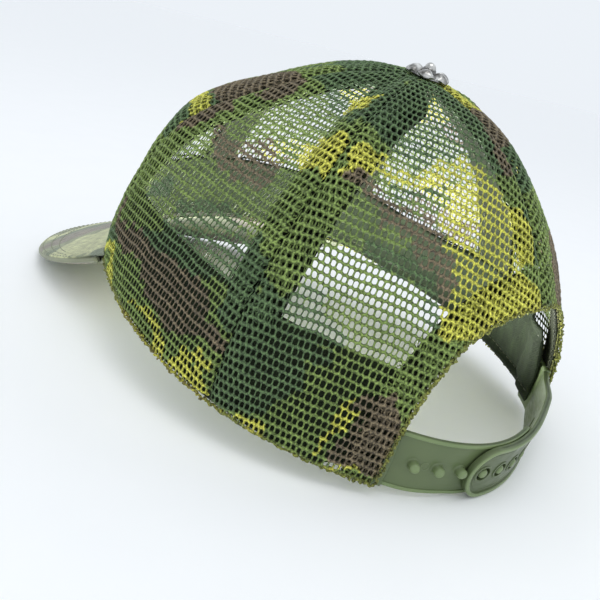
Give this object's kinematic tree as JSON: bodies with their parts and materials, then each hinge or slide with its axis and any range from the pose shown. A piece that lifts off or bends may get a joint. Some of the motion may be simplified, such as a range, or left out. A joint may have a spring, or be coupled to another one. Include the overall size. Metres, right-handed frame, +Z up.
{
  "type": "mesh trucker cap",
  "caption": "Trucker cap with a crown of printed knit mesh panels, a curved covered visor, a metal top ornament and a snap strap closure over a rear opening.",
  "frame": {"origin": "centre of the cap's footprint, on the surface that it stands on, resting on the visor's edge and the rear of its rim", "axes": "+Z up, -Y towards the visor, +X towards the wearer's left; the rim plane is pitched back by about 9 degrees"},
  "size_m": [0.172, 0.2632, 0.1269],
  "materials": {
    "mesh_cloth": "open knit polyester mesh with a camouflage print",
    "seam_tape": "woven twill tape",
    "sweatband_cloth": "padded brushed twill",
    "binding_cloth": "woven binding",
    "visor_cloth": "camouflage cotton twill",
    "visor_under_cloth": "plain cotton twill",
    "visor_board_plastic": "moulded stiffener",
    "strap_plastic": "satin moulded olive plastic",
    "antique_silver": "antique silver casting",
    "rivet_steel": "nickel-plated"
  },
  "bodies": {
    "cap": {"front_panel_left": "mesh_cloth", "front_panel_right": "mesh_cloth", "side_panel_left": "mesh_cloth", "side_panel_right": "mesh_cloth", "rear_panel_left": "mesh_cloth", "rear_panel_right": "mesh_cloth", "seam_tape_front": "seam_tape", "seam_tape_front_left": "seam_tape", "seam_tape_front_right": "seam_tape", "seam_tape_rear_left": "seam_tape", "seam_tape_rear_right": "seam_tape", "seam_tape_back": "seam_tape", "sweatband": "sweatband_cloth", "rear_arch_binding": "binding_cloth", "visor_top_cover": "visor_cloth", "visor_board": "visor_board_plastic", "visor_under_cover": "visor_under_cloth", "peg_strap_root": "strap_plastic", "hole_strap_root": "strap_plastic", "ornament": "antique_silver", "ornament_stud": "rivet_steel", "ornament_back_washer": "rivet_steel"},
    "peg_strap_body": {"peg_strap": "strap_plastic"},
    "hole_strap_body": {"hole_strap": "strap_plastic"}
  },
  "joints": [
    {"name": "hole_strap_swing", "type": "hinge", "parent": "cap", "child": "hole_strap_body", "pos_m": [-0.05162, 0.10915, 0.00417], "axis": [0.0356, 0.0783, 0.9963], "range_deg": [0, 50], "stiffness_Nm_per_rad": 0.04},
    {"name": "peg_strap_swing", "type": "hinge", "parent": "cap", "child": "peg_strap_body", "pos_m": [0.0506, 0.10805, 0.00473], "axis": [-0.0359, 0.0745, 0.9966], "range_deg": [0, 35], "stiffness_Nm_per_rad": 0.04}
  ]
}
